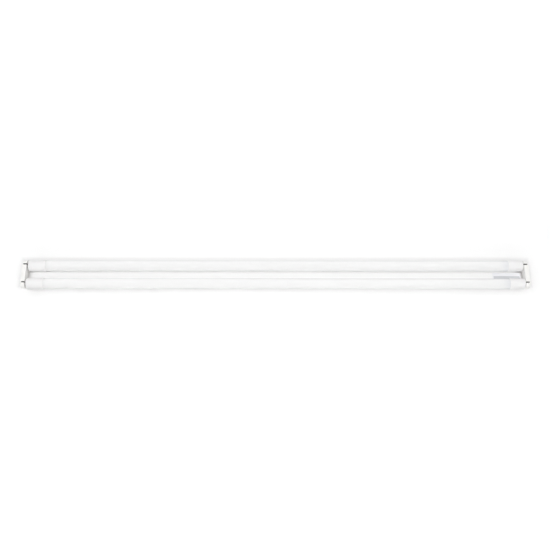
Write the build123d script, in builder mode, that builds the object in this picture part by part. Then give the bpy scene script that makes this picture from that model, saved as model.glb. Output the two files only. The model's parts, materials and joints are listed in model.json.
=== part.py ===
from build123d import *
import os
from math import sqrt

# Twin-tube linear light fixture, lying on its back: +X runs along the tubes, +Z faces away from the
# mounting surface, and the origin is at the middle of the back face. All sizes are in millimetres.

# Lamp tubes
tube_length = 1199.4          # from cap face to cap face
tube_pitch = 46.0             # between the two tube axes
tube_axis_height = 40.0       # above the mounting surface
end_play = 2.8                # between both cap faces and the holders, in all
tube_shift = 0.9              # the tubes rest this far along +X in their end play
glass_diameter = 25.6
glass_wall = 1.0
glass_fit = 0.1               # radial glue gap between glass and cap
glass_seat_gap = 0.2          # between the glass end and the shoulder in the cap

# Lamp caps and pins
left_cap_diameter = 28.2
left_cap_length = 41.0
right_cap_diameter = 27.2
right_cap_length = 36.5
cap_end_wall = 2.4
cap_socket_depth = 14.0       # how far the glass goes into a cap
cap_shoulder = 1.2            # radial step that stops the glass
cap_edge_radius = 2.6
cap_lip_radius = 0.4
pin_diameter = 2.35
pin_spacing = 12.7
pin_length = 7.2
pin_tail = 6.0
pin_collar_radius = 2.2
pin_collar_thickness = 1.0
pin_tip_radius = 0.5
pin_fit = 0.03

# Inside a lamp
strip_width = 10.0
strip_thickness = 1.0
strip_seat_gap = 0.05
strip_end_margin = 3.0        # from the strip's far end to the glass's end
chip_length = 3.5
chip_width = 2.8
chip_height = 0.8
chip_pitch = 24.0
board_width = 19.0
board_thickness = 1.2
board_start = 5.0             # behind the cap face
driver_length = 44.0
end_board_length = 10.0
solder_gap = 0.03
lead_diameter = 1.0
lead_spacing = 5.0
lead_bend_radius = 2.0
lead_length = 12.0            # past the driver board's end
coil_size = 9.0
coil_height = 7.0
coil_corner_radius = 1.5
capacitor_diameter = 8.0
capacitor_length = 12.0
rectifier_length = 6.0
rectifier_width = 5.0
rectifier_height = 2.4

# Twin lampholders
housing_depth = 8.0
back_thickness = 2.4
front_wall = 2.0
holder_wall = 1.8
holder_side_reach = 11.5      # from a tube axis out to the side
holder_top_reach = 13.0       # from the tube axes up to the top
holder_corner_radius = 9.0
holder_foot_width = 44.0
flare_start = 4.0             # the sides lean out from this height
flare_rise = 32.0             # over this much height
flare_radius = 9.0
foot_radius = 2.0
holder_edge_radius = 1.0
back_edge_radius = 1.5
boss_wall = 1.7
entry_clearance = 0.325       # pin to entry slot, each side
tongue_length = 15.0
tongue_wall = 1.5
tongue_fit = 0.3
post_radius = 2.4
side_post_inset = 12.5        # from the holder's side
side_post_drop = 14.5         # below the tube axes
top_post_drop = 9.0           # below the holder's top

# Rotors
hub_margin = 0.2              # hub radius beyond the pins
hub_fit = 0.08
flange_overlap = 1.5
flange_thickness = 1.2
rotor_end_fit = 0.2
rotor_cavity_fit = 0.3
rotor_web = 0.7
rotor_rear_gap = 0.4          # to the back cover
rotor_slot_fit = 0.2          # pin to rotor slot, each side
rotor_tail_radius = 7.2
rotor_face_gap = 0.3          # the rotor face sits this far inside the holder face
peg_radius = 1.4
peg_fit = 0.08
peg_reach = 0.9

# Contact strips
contact_gap = 0.3             # pin to blade
contact_thickness = 0.4
contact_fit = 0.15
contact_width = 3.6
contact_start = 3.8           # behind the holder's front face
contact_top = 3.5             # above the tube axes
contact_bend_radius = 1.5
live_wrap = 20.0              # degrees that a live blade runs on past its pin
live_drop_reach = 12.5        # from the middle to where the live strip turns down
live_strip_drop = 21.0        # below the tube axes
neutral_exit = 3.5            # below the tube axes
neutral_drop_reach = 9.0      # from the middle to where the neutral strip turns down
neutral_strip_drop = 15.0     # below the tube axes
cage_offset = 6.0
cage_width = 4.4
cage_height = 4.2
cage_wall = 0.5

# Spine cover and base tray
spine_width = 42.0
ridge_width = 16.0
lamp_clearance = 1.5          # from the widest cap to the spine's 45 degree slopes
spine_sheet = 0.7
spine_bend_radius = 3.0
spine_end_gap = 1.2
back_clearance = 0.3          # cover and holders stop this far above the mounting surface
tray_sheet = 0.8
tray_flange_height = 12.0
tray_bend_radius = 1.5
tray_fit = 0.1

# Fixings through the tray
mount_slot_spacing = 800.0
mount_slot_width = 5.0
mount_slot_length = 12.0
side_screw_height = 8.0
cover_screw_spacing = 600.0
holder_screw_inset = 7.5      # behind the holder's front face
screw_radius = 1.5
screw_head_radius = 3.2
screw_head_height = 1.8
screw_length = 6.0
screw_hole_fit = 0.2
thread_fit = 0.05
screw_slot_width = 0.8
screw_slot_depth = 0.9
back_screw_radius = 1.1
back_screw_head_radius = 2.2
back_screw_length = 6.5
back_screw_slot_width = 0.6
back_screw_slot_depth = 0.5

# Cable entry
grommet_x = 0.0
dimple_radius = 15.0
dimple_top_radius = 12.0
dimple_rise = 2.2
grommet_seat_radius = 8.0
grommet_flange_radius = 10.5
grommet_flange_thickness = 1.6
grommet_bore_radius = 5.0
grommet_fit = 0.05

# Terminal block
block_x = -60.0
block_length = 18.0
block_base_height = 9.8
block_height = 15.0
pole_pitch = 10.0
pole_count = 3
tower_width = 5.6
tower_margin = 1.0
clamp_radius = 3.0
clamp_bore_radius = 1.7
clamp_length = 14.0
clamp_height = 5.4            # above the tray floor
clamp_fit = 0.05
clamp_screw_spacing = 8.0
clamp_screw_radius = 1.4
clamp_screw_gap = 0.05
clamp_screw_sink = 0.6
block_screw_radius = 1.2
block_screw_head_radius = 2.0
block_screw_head_height = 1.3

# Earth point and wires
earth_x = -118.0
stud_radius = 2.0
stud_height = 7.5
stud_fit = 0.05
nut_flats = 7.0
nut_height = 3.2
tag_ring_radius = 4.2
tag_thickness = 0.8
tag_barrel_radius = 1.6
tag_barrel_length = 7.0
wire_diameter = 1.8
wire_fit = 0.05
wire_bend_radius = 20.0
wire_rise_length = 40.0
wire_approach = 20.0          # level run into the terminal block
earth_run_out = 3.5           # level run out of the earth tag
earth_bend_radius = 5.0

# Places worked out from the driving dimensions
left, right = -1, 1
tube_axes = {"rear": tube_pitch / 2, "front": -tube_pitch / 2}
holder_face_x = (tube_length + end_play) / 2
spine_length = 2 * (holder_face_x - spine_end_gap)
cap_reach = max(left_cap_diameter, right_cap_diameter) / 2
spine_height = tube_axis_height + (tube_pitch - ridge_width) / 2 - sqrt(2) * (cap_reach + lamp_clearance)
shoulder_height = spine_height - (spine_width - ridge_width) / 2
glass_inner_radius = glass_diameter / 2 - glass_wall
pin_reach = pin_spacing / 2 + pin_diameter / 2
hub_radius = pin_reach + hub_margin
flange_radius = hub_radius + flange_overlap
cavity_radius = flange_radius + rotor_cavity_fit
boss_radius = cavity_radius + boss_wall
entry_width = pin_diameter + 2 * entry_clearance
holder_half_width = tube_pitch / 2 + holder_side_reach
holder_top = tube_axis_height + holder_top_reach
flare_end = flare_start + flare_rise
side_post_height = tube_axis_height - side_post_drop
live_strip_height = tube_axis_height - live_strip_drop
neutral_strip_height = tube_axis_height - neutral_strip_drop
blade_offset = pin_reach + contact_gap
blade_top = tube_axis_height + contact_top
live_exit_height = tube_axis_height - blade_offset
neutral_reach = tube_pitch / 2 - blade_offset
neutral_exit_height = tube_axis_height - neutral_exit
back_screw_head_height = back_screw_head_radius - back_screw_radius   # a right-angled countersink
tray_half_width = spine_width / 2 - spine_sheet - tray_fit
tongue_inset = spine_sheet + tray_fit + tray_sheet + tongue_fit
pole_ys = [(pole - (pole_count - 1) / 2) * pole_pitch for pole in range(pole_count)]
live_y, earth_y, neutral_y = pole_ys[0], 0.0, pole_ys[-1]
clamp_z = tray_sheet + clamp_height
side_screw_xs = [
    -holder_face_x + holder_screw_inset, -cover_screw_spacing / 2,
    cover_screw_spacing / 2, holder_face_x - holder_screw_inset,
]
back_posts = [
    (-holder_half_width + side_post_inset, side_post_height),
    (holder_half_width - side_post_inset, side_post_height),
    (0, holder_top - top_post_drop),
]

os.makedirs("parts", exist_ok=True)


def save(part, name):
    # One file for each sub-part, named after it
    part.label = name
    export_step(part, f"parts/{name}.step")


def end_plane(side, depth):
    # A plane across the fixture at one end, facing outwards, depth behind the holder's front face
    return Plane(origin=(side * (holder_face_x + depth), 0, 0), x_dir=(0, side, 0), z_dir=(side, 0, 0))


def lamp_plane(side, axis_y):
    # The plane of a lamp's cap face, centred on the lamp and facing outwards
    face_x = side * tube_length / 2 + tube_shift
    return Plane(origin=(face_x, axis_y, tube_axis_height), x_dir=(0, side, 0), z_dir=(side, 0, 0))


def cross_plane(x):
    # A plane across the fixture that faces +X, with its x along +Y and its y along +Z
    return Plane(origin=(x, 0, 0), x_dir=(0, 1, 0), z_dir=(1, 0, 0))


# Outlines across the fixture
with BuildSketch() as spine_outline:
    with BuildLine():
        Polyline(
            (-spine_width / 2, back_clearance), (-spine_width / 2, shoulder_height),
            (-ridge_width / 2, spine_height), (ridge_width / 2, spine_height),
            (spine_width / 2, shoulder_height), (spine_width / 2, back_clearance), close=True,
        )
    make_face()
    fillet(spine_outline.vertices().group_by(Axis.Y)[1:], spine_bend_radius)

with BuildSketch() as spine_inside:
    add(spine_outline.sketch)
    offset(amount=-spine_sheet, mode=Mode.REPLACE)

with BuildSketch() as tongue_outline:
    add(spine_outline.sketch)
    offset(amount=-tongue_inset, mode=Mode.REPLACE)

with BuildSketch() as tongue_inside:
    add(tongue_outline.sketch)
    offset(amount=-tongue_wall, mode=Mode.REPLACE)

with BuildSketch() as holder_outline:
    with BuildLine():
        Polyline(
            (-holder_foot_width / 2, back_clearance), (-holder_foot_width / 2, flare_start),
            (-holder_half_width, flare_end), (-holder_half_width, holder_top),
            (holder_half_width, holder_top), (holder_half_width, flare_end),
            (holder_foot_width / 2, flare_start), (holder_foot_width / 2, back_clearance), close=True,
        )
    make_face()
    fillet(holder_outline.vertices().group_by(Axis.Y)[-1], holder_corner_radius)
    fillet(holder_outline.vertices().group_by(Axis.Y)[1:3], flare_radius)
    fillet(holder_outline.vertices().group_by(Axis.Y)[0], foot_radius)

with BuildSketch() as holder_inside:
    add(holder_outline.sketch)
    offset(amount=-holder_wall, mode=Mode.REPLACE)

# Contact strips in a holder: the live strip wraps under both rotors, the neutral strip stays between
# them, and each carries a wire cage
live_cage = (cage_offset, live_strip_height - contact_thickness - cage_height / 2)
neutral_cage = (-cage_offset, neutral_strip_height - cage_height / 2)
with BuildSketch() as contact_outline:
    with BuildLine():
        CenterArc((tube_pitch / 2, tube_axis_height), blade_offset, live_wrap, -90 - live_wrap)
        FilletPolyline(
            (tube_pitch / 2, live_exit_height), (live_drop_reach, live_exit_height),
            (live_drop_reach, live_strip_height), (-live_drop_reach, live_strip_height),
            (-live_drop_reach, live_exit_height), (-tube_pitch / 2, live_exit_height),
            radius=contact_bend_radius,
        )
        CenterArc((-tube_pitch / 2, tube_axis_height), blade_offset, -90, -90 - live_wrap)
        offset(amount=contact_thickness, side=Side.LEFT)
    make_face()
    with BuildLine():
        FilletPolyline(
            (neutral_reach, blade_top), (neutral_reach, neutral_exit_height),
            (neutral_drop_reach, neutral_exit_height), (neutral_drop_reach, neutral_strip_height),
            (-neutral_drop_reach, neutral_strip_height), (-neutral_drop_reach, neutral_exit_height),
            (-neutral_reach, neutral_exit_height), (-neutral_reach, blade_top),
            radius=contact_bend_radius,
        )
        offset(amount=contact_thickness, side=Side.RIGHT)
    make_face()
    with Locations(live_cage, neutral_cage):
        Rectangle(cage_width, cage_height)
        Rectangle(cage_width - 2 * cage_wall, cage_height - 2 * cage_wall, mode=Mode.SUBTRACT)

with BuildSketch() as contact_slits:
    add(contact_outline.sketch)
    offset(amount=contact_fit, mode=Mode.REPLACE)

# Spine cover: one bent sheet, open at the back
with BuildPart() as spine_cover:
    with BuildSketch(cross_plane(-spine_length / 2)):
        add(spine_outline.sketch)
        add(spine_inside.sketch, mode=Mode.SUBTRACT)
        with Locations((0, back_clearance)):
            Rectangle(
                spine_width - 2 * spine_sheet, 2 * spine_sheet, align=(Align.CENTER, Align.MIN),
                mode=Mode.SUBTRACT,
            )
    extrude(amount=spine_length)
    with BuildSketch(Plane.XZ):
        with Locations(*[(x, side_screw_height) for x in side_screw_xs]):
            Circle(screw_radius + screw_hole_fit)
    extrude(amount=spine_width, both=True, mode=Mode.SUBTRACT)
save(spine_cover.part, "spine_cover")

# Base tray: a folded channel with mounting slots, a raised cable entry and fixing holes
with BuildPart() as base_tray:
    with BuildSketch(cross_plane(-spine_length / 2)):
        with BuildLine():
            FilletPolyline(
                (-tray_half_width, tray_flange_height), (-tray_half_width, 0),
                (tray_half_width, 0), (tray_half_width, tray_flange_height), radius=tray_bend_radius,
            )
            offset(amount=tray_sheet, side=Side.LEFT)
        make_face()
    extrude(amount=spine_length)
    with BuildSketch(Plane.XY):
        with GridLocations(mount_slot_spacing, 0, 2, 1):
            SlotOverall(mount_slot_length, mount_slot_width)
        with Locations((grommet_x, 0)):
            Circle(dimple_radius)
        with Locations((earth_x, 0)):
            Circle(stud_radius + stud_fit)
        with Locations((block_x, -pole_pitch / 2), (block_x, pole_pitch / 2)):
            Circle(block_screw_radius + thread_fit)
    extrude(amount=tray_sheet, mode=Mode.SUBTRACT)
    with BuildSketch(Plane.XZ):
        with BuildLine():
            Polyline(
                (grommet_x + dimple_radius, 0), (grommet_x + dimple_top_radius, dimple_rise),
                (grommet_x + grommet_seat_radius, dimple_rise),
                (grommet_x + grommet_seat_radius, dimple_rise + tray_sheet),
                (grommet_x + dimple_top_radius, dimple_rise + tray_sheet),
                (grommet_x + dimple_radius, tray_sheet), close=True,
            )
        make_face()
    revolve(axis=Axis((grommet_x, 0, 0), (0, 0, 1)))
    with BuildSketch(Plane.XZ):
        with Locations(*[(x, side_screw_height) for x in side_screw_xs]):
            Circle(screw_radius + thread_fit)
    extrude(amount=spine_width, both=True, mode=Mode.SUBTRACT)
save(base_tray.part, "base_tray")

# Rubber grommet in the raised cable entry
grommet_groove_low = dimple_rise - grommet_fit
grommet_groove_high = dimple_rise + tray_sheet + grommet_fit
with BuildPart() as cable_grommet:
    with BuildSketch(Plane.XZ):
        with BuildLine():
            Polyline(
                (grommet_x + grommet_bore_radius, grommet_groove_low - grommet_flange_thickness),
                (grommet_x + grommet_flange_radius, grommet_groove_low - grommet_flange_thickness),
                (grommet_x + grommet_flange_radius, grommet_groove_low),
                (grommet_x + grommet_seat_radius - grommet_fit, grommet_groove_low),
                (grommet_x + grommet_seat_radius - grommet_fit, grommet_groove_high),
                (grommet_x + grommet_flange_radius, grommet_groove_high),
                (grommet_x + grommet_flange_radius, grommet_groove_high + grommet_flange_thickness),
                (grommet_x + grommet_bore_radius, grommet_groove_high + grommet_flange_thickness),
                close=True,
            )
        make_face()
    revolve(axis=Axis((grommet_x, 0, 0), (0, 0, 1)))
save(cable_grommet.part, "cable_grommet")


def holder_housing(side):
    # Moulded shell with a front wall, a boss round each rotor, open entry slots and a hollow tongue
    face = end_plane(side, 0)
    outward = Axis(face.origin, face.z_dir)
    axes = [(side * axis_y, tube_axis_height) for axis_y in tube_axes.values()]
    behind_wall = housing_depth - front_wall
    with BuildPart() as housing:
        with BuildSketch(face):
            add(holder_outline.sketch)
        extrude(amount=housing_depth)
        fillet(housing.faces().sort_by(outward)[0].edges(), holder_edge_radius)
        with BuildSketch(face.offset(front_wall)):
            add(holder_inside.sketch)
        extrude(amount=behind_wall, mode=Mode.SUBTRACT)
        # Bosses, the entry necks above them and the screw posts
        with BuildSketch(face.offset(front_wall)):
            with Locations(*axes):
                Circle(boss_radius)
                Rectangle(
                    entry_width + 2 * boss_wall, holder_top_reach - holder_wall,
                    align=(Align.CENTER, Align.MIN),
                )
            with Locations(*back_posts):
                Circle(post_radius)
        extrude(amount=behind_wall)
        # Tongue that plugs into the spine and the tray
        with BuildSketch(face):
            add(tongue_outline.sketch)
        extrude(amount=-tongue_length)
        with BuildSketch(face.offset(front_wall)):
            add(tongue_inside.sketch)
        extrude(amount=-(front_wall + tongue_length), mode=Mode.SUBTRACT)
        # Rotor room, rotor bore and entry slot
        with BuildSketch(face.offset(front_wall)):
            with Locations(*axes):
                Circle(cavity_radius)
        extrude(amount=behind_wall, mode=Mode.SUBTRACT)
        with BuildSketch(face):
            with Locations(*axes):
                Circle(hub_radius + hub_fit)
        extrude(amount=front_wall, mode=Mode.SUBTRACT)
        with BuildSketch(face):
            with Locations(*axes):
                Rectangle(entry_width, holder_top_reach, align=(Align.CENTER, Align.MIN))
        extrude(amount=housing_depth, mode=Mode.SUBTRACT)
        # Slits for the contact blades and holes for the screws
        with BuildSketch(face.offset(contact_start - contact_fit)):
            add(contact_slits.sketch)
        extrude(amount=housing_depth, mode=Mode.SUBTRACT)
        with BuildSketch(face.offset(front_wall)):
            with Locations(*back_posts):
                Circle(back_screw_radius + thread_fit)
        extrude(amount=behind_wall, mode=Mode.SUBTRACT)
        with BuildSketch(Plane.XZ):
            with Locations((side * (holder_face_x - holder_screw_inset), side_screw_height)):
                Circle(screw_radius + thread_fit)
        extrude(amount=spine_width, both=True, mode=Mode.SUBTRACT)
    return housing.part


def holder_back(side):
    # Back plate with rounded edges, a peg for each rotor and countersunk screw holes
    face = end_plane(side, housing_depth)
    outward = Axis(face.origin, face.z_dir)
    with BuildPart() as back:
        with BuildSketch(face):
            add(holder_outline.sketch)
        extrude(amount=back_thickness)
        fillet(back.faces().sort_by(outward)[-1].edges(), back_edge_radius)
        with BuildSketch(face):
            with Locations(*[(side * axis_y, tube_axis_height) for axis_y in tube_axes.values()]):
                Circle(peg_radius)
        extrude(amount=-peg_reach)
        with Locations(face.offset(back_thickness)):
            with Locations(*back_posts):
                CounterSinkHole(
                    back_screw_radius + screw_hole_fit, back_screw_head_radius + screw_hole_fit,
                    counter_sink_angle=90,
                )
    return back.part


def contact_strips(side):
    # The two bent strips of one holder
    with BuildPart() as strips:
        with BuildSketch(end_plane(side, contact_start)):
            add(contact_outline.sketch)
        extrude(amount=contact_width)
    return strips.part


def rotor(side, axis_y):
    # Turned hub with a trapped flange and a slot right across for the lamp's two pins
    face = end_plane(side, 0)
    centre = (side * axis_y, tube_axis_height)
    flange_start = front_wall + rotor_end_fit
    flange_end = flange_start + flange_thickness
    rotor_end = housing_depth - rotor_rear_gap
    with BuildPart() as turned:
        for start, end, radius in (
            (rotor_face_gap, flange_start, hub_radius),
            (flange_start, flange_end, flange_radius),
            (flange_end, rotor_end, rotor_tail_radius),
        ):
            with BuildSketch(face.offset(start)):
                with Locations(centre):
                    Circle(radius)
            extrude(amount=end - start)
        with BuildSketch(face):
            with Locations(centre):
                Rectangle(2 * flange_radius, pin_diameter + 2 * rotor_slot_fit)
        extrude(amount=rotor_end - rotor_web, mode=Mode.SUBTRACT)
        with BuildSketch(face.offset(rotor_end)):
            with Locations(centre):
                Circle(peg_radius + peg_fit)
        extrude(amount=-rotor_web, mode=Mode.SUBTRACT)
    return turned.part


for side, end_name in ((left, "left"), (right, "right")):
    save(holder_housing(side), f"{end_name}_holder")
    save(holder_back(side), f"{end_name}_holder_back")
    save(contact_strips(side), f"{end_name}_contacts")
    for lamp_name, axis_y in tube_axes.items():
        save(rotor(side, axis_y), f"{lamp_name}_{end_name}_rotor")


def side_screws(screw_xs):
    # Slotted screws through both sides of the spine
    with BuildPart() as screws:
        for screw_side in (left, right):
            seat = Plane(
                origin=(0, screw_side * spine_width / 2, 0), x_dir=(-screw_side, 0, 0),
                z_dir=(0, screw_side, 0),
            )
            places = [(-screw_side * x, side_screw_height) for x in screw_xs]
            with BuildSketch(seat):
                with Locations(*places):
                    Circle(screw_head_radius)
            extrude(amount=screw_head_height)
            with BuildSketch(seat):
                with Locations(*places):
                    Circle(screw_radius)
            extrude(amount=-screw_length)
            with BuildSketch(seat.offset(screw_head_height)):
                with Locations(*places):
                    Rectangle(2 * screw_head_radius, screw_slot_width)
            extrude(amount=-screw_slot_depth, mode=Mode.SUBTRACT)
    return screws.part


# The outer screws hold the holders, the inner ones hold the cover
save(side_screws([side_screw_xs[0], side_screw_xs[-1]]), "holder_screws")
save(side_screws(side_screw_xs[1:-1]), "cover_screws")

# Countersunk screws in the holder backs
with BuildPart() as back_screws:
    for side in (left, right):
        with Locations(end_plane(side, housing_depth + back_thickness)):
            with Locations(*back_posts):
                Cone(
                    back_screw_radius, back_screw_head_radius, back_screw_head_height,
                    align=(Align.CENTER, Align.CENTER, Align.MAX),
                )
                Cylinder(
                    back_screw_radius, back_screw_length,
                    align=(Align.CENTER, Align.CENTER, Align.MAX),
                )
                Box(
                    2 * back_screw_head_radius, back_screw_slot_width, back_screw_slot_depth,
                    align=(Align.CENTER, Align.CENTER, Align.MAX), mode=Mode.SUBTRACT,
                )
save(back_screws.part, "back_screws")

# Terminal block: a base with a tower over each pole, standing on the tray floor
floor = Plane.XY.offset(tray_sheet)
clamp_screw_xs = [block_x - clamp_screw_spacing / 2, block_x + clamp_screw_spacing / 2]
clamp_screw_places = [(x, y) for x in clamp_screw_xs for y in pole_ys]
block_screw_places = [(block_x, -pole_pitch / 2), (block_x, pole_pitch / 2)]
clamp_ends = Plane(origin=(block_x, 0, clamp_z), x_dir=(0, 1, 0), z_dir=(1, 0, 0))
with BuildPart() as terminal_block:
    with BuildSketch(floor):
        with Locations((block_x, 0)):
            Rectangle(block_length, pole_count * pole_pitch)
    extrude(amount=block_base_height)
    with BuildSketch(floor):
        with Locations(*[(block_x, y) for y in pole_ys]):
            Rectangle(block_length - 2 * tower_margin, tower_width)
    extrude(amount=block_height)
    with BuildSketch(clamp_ends):
        with Locations(*[(y, 0) for y in pole_ys]):
            Circle(clamp_radius + clamp_fit)
    extrude(amount=block_length, both=True, mode=Mode.SUBTRACT)
    with BuildSketch(Plane.XY.offset(clamp_z)):
        with Locations(*clamp_screw_places):
            Circle(clamp_screw_radius + screw_hole_fit)
    extrude(amount=block_height, mode=Mode.SUBTRACT)
    with BuildSketch(floor):
        with Locations(*block_screw_places):
            Circle(block_screw_radius + screw_hole_fit)
    extrude(amount=block_height, mode=Mode.SUBTRACT)
save(terminal_block.part, "terminal_block")

with BuildPart() as terminal_clamps:
    with BuildSketch(clamp_ends):
        with Locations(*[(y, 0) for y in pole_ys]):
            Circle(clamp_radius)
            Circle(clamp_bore_radius, mode=Mode.SUBTRACT)
    extrude(amount=clamp_length / 2, both=True)
    with BuildSketch(Plane.XY.offset(clamp_z)):
        with Locations(*clamp_screw_places):
            Circle(clamp_screw_radius + thread_fit)
    extrude(amount=clamp_radius, mode=Mode.SUBTRACT)
save(terminal_clamps.part, "terminal_clamps")

with BuildPart() as terminal_screws:
    screw_tip = Plane.XY.offset(clamp_z + wire_diameter / 2 + clamp_screw_gap)
    clamp_screw_length = tray_sheet + block_height - clamp_screw_sink - screw_tip.origin.Z
    with BuildSketch(screw_tip):
        with Locations(*clamp_screw_places):
            Circle(clamp_screw_radius)
    extrude(amount=clamp_screw_length)
    with BuildSketch(screw_tip.offset(clamp_screw_length)):
        with Locations(*clamp_screw_places):
            Rectangle(2 * clamp_screw_radius, screw_slot_width)
    extrude(amount=-screw_slot_depth, mode=Mode.SUBTRACT)
save(terminal_screws.part, "terminal_screws")

with BuildPart() as block_screws:
    block_land = Plane.XY.offset(tray_sheet + block_base_height)
    with BuildSketch(block_land):
        with Locations(*block_screw_places):
            Circle(block_screw_head_radius)
    extrude(amount=block_screw_head_height)
    with BuildSketch(block_land):
        with Locations(*block_screw_places):
            Circle(block_screw_radius)
    extrude(amount=-(tray_sheet + block_base_height - back_clearance))
    with BuildSketch(block_land.offset(block_screw_head_height)):
        with Locations(*block_screw_places):
            Rectangle(2 * block_screw_head_radius, screw_slot_width)
    extrude(amount=-screw_slot_depth, mode=Mode.SUBTRACT)
save(block_screws.part, "block_screws")

# Earth point: a stud in the tray floor, a ring tag on the floor and a nut over it
with BuildPart() as earth_stud:
    with BuildSketch(Plane.XY):
        with Locations((earth_x, 0)):
            Circle(stud_radius)
    extrude(amount=stud_height)
save(earth_stud.part, "earth_stud")

barrel_x = earth_x + tag_ring_radius
barrel_z = tray_sheet + tag_barrel_radius
with BuildPart() as earth_tag:
    with BuildSketch(floor):
        with Locations((earth_x, 0)):
            Circle(tag_ring_radius)
        with Locations((barrel_x, 0)):
            Rectangle(2 * tag_barrel_radius, 2 * tag_barrel_radius)
        with Locations((earth_x, 0)):
            Circle(stud_radius + stud_fit, mode=Mode.SUBTRACT)
    extrude(amount=tag_thickness)
    with BuildSketch(cross_plane(barrel_x)):
        with Locations((0, barrel_z)):
            Circle(tag_barrel_radius)
    extrude(amount=tag_barrel_length)
    with BuildSketch(cross_plane(barrel_x)):
        with Locations((0, barrel_z)):
            Circle(wire_diameter / 2 + wire_fit)
    extrude(amount=tag_barrel_length, mode=Mode.SUBTRACT)
save(earth_tag.part, "earth_tag")

with BuildPart() as earth_nut:
    with BuildSketch(floor.offset(tag_thickness)):
        with Locations((earth_x, 0)):
            RegularPolygon(nut_flats / 2, 6, major_radius=False)
            Circle(stud_radius + stud_fit, mode=Mode.SUBTRACT)
    extrude(amount=nut_height)
save(earth_nut.part, "earth_nut")


def wire(points, radius, diameter):
    # Round insulated wire along straight runs with tangent bends
    with BuildPart() as insulated:
        with BuildLine() as route:
            FilletPolyline(*points, radius=radius)
        with BuildSketch(Plane(origin=route.line @ 0, z_dir=route.line % 0)):
            Circle(diameter / 2)
        sweep()
    return insulated.part


# Wires from the terminal block to the left holder's cages and to the earth tag
cage_x = -(holder_face_x + contact_start + contact_width / 2)
wire_out_x = -holder_face_x + wire_rise_length
wire_floor_z = tray_sheet + wire_diameter / 2 + wire_fit
clamp_in_x = block_x - clamp_screw_spacing / 2 + clamp_screw_radius
block_edge_x = block_x - block_length / 2
for wire_name, (cage_y, cage_z), pole_y in (
    ("live_wire", live_cage, live_y), ("neutral_wire", neutral_cage, neutral_y),
):
    wire_route = [
        (cage_x, left * cage_y, cage_z), (wire_out_x, left * cage_y, cage_z),
        (wire_out_x + wire_rise_length, pole_y, wire_floor_z),
        (block_edge_x - wire_approach - wire_rise_length, pole_y, wire_floor_z),
        (block_edge_x - wire_approach, pole_y, clamp_z), (clamp_in_x, pole_y, clamp_z),
    ]
    save(wire(wire_route, wire_bend_radius, wire_diameter), wire_name)

barrel_end_x = barrel_x + tag_barrel_length
earth_route = [
    (barrel_x + wire_fit, earth_y, barrel_z), (barrel_end_x + earth_run_out, earth_y, barrel_z),
    (block_edge_x - wire_diameter, earth_y, clamp_z), (clamp_in_x, earth_y, clamp_z),
]
save(wire(earth_route, earth_bend_radius, wire_diameter), "earth_wire")


def lamp_glass(axis_y):
    # Plain tube between the shoulders in the two caps
    start = lamp_plane(left, axis_y).offset(-(left_cap_length - cap_socket_depth + glass_seat_gap))
    ends = left_cap_length + right_cap_length - 2 * cap_socket_depth + 2 * glass_seat_gap
    with BuildPart() as glass:
        with BuildSketch(start):
            Circle(glass_diameter / 2)
            Circle(glass_inner_radius, mode=Mode.SUBTRACT)
        extrude(amount=-(tube_length - ends))
    return glass.part


def lamp_cap(side, axis_y, diameter, length):
    # Moulded cup with a rounded outer edge, a socket for the glass and two pin holes
    face = lamp_plane(side, axis_y)
    outward = Axis(face.origin, face.z_dir)
    with BuildPart() as cap:
        with BuildSketch(face):
            Circle(diameter / 2)
        extrude(amount=-length)
        fillet(cap.edges().sort_by(outward)[-1], cap_edge_radius)
        fillet(cap.edges().sort_by(outward)[0], cap_lip_radius)
        with BuildSketch(face.offset(-cap_end_wall)):
            Circle(glass_diameter / 2 - cap_shoulder)
        extrude(amount=-(length - cap_end_wall), mode=Mode.SUBTRACT)
        with BuildSketch(face.offset(-length)):
            Circle(glass_diameter / 2 + glass_fit)
        extrude(amount=cap_socket_depth, mode=Mode.SUBTRACT)
        with BuildSketch(face):
            with GridLocations(pin_spacing, 0, 2, 1):
                Circle(pin_diameter / 2 + pin_fit)
        extrude(amount=-cap_end_wall, mode=Mode.SUBTRACT)
    return cap.part


def lamp_pins(side, axis_y):
    # Two round-tipped pins with a collar behind the cap's end wall and a tail for the board
    face = lamp_plane(side, axis_y)
    outward = Axis(face.origin, face.z_dir)
    with BuildPart() as pins:
        with BuildSketch(face.offset(pin_length)):
            with GridLocations(pin_spacing, 0, 2, 1):
                Circle(pin_diameter / 2)
        extrude(amount=-(pin_length + cap_end_wall + pin_tail))
        fillet(pins.edges().group_by(outward)[-1], pin_tip_radius)
        with BuildSketch(face.offset(-cap_end_wall)):
            with GridLocations(pin_spacing, 0, 2, 1):
                Circle(pin_collar_radius)
        extrude(amount=-pin_collar_thickness)
    return pins.part


board_top = -pin_diameter / 2 - solder_gap
strip_bottom = -sqrt((glass_inner_radius - strip_seat_gap) ** 2 - (strip_width / 2) ** 2)
strip_top = strip_bottom + strip_thickness
lead_end = board_start + driver_length + lead_length
strip_tail = right_cap_length - cap_socket_depth + glass_seat_gap + strip_end_margin


def lamp_board(side, axis_y, length):
    # Circuit board that lies under the pin tails
    with BuildPart() as board:
        with BuildSketch(lamp_plane(side, axis_y).offset(-board_start)):
            with Locations((0, board_top)):
                Rectangle(board_width, board_thickness, align=(Align.CENTER, Align.MAX))
        extrude(amount=-length)
    return board.part


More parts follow.
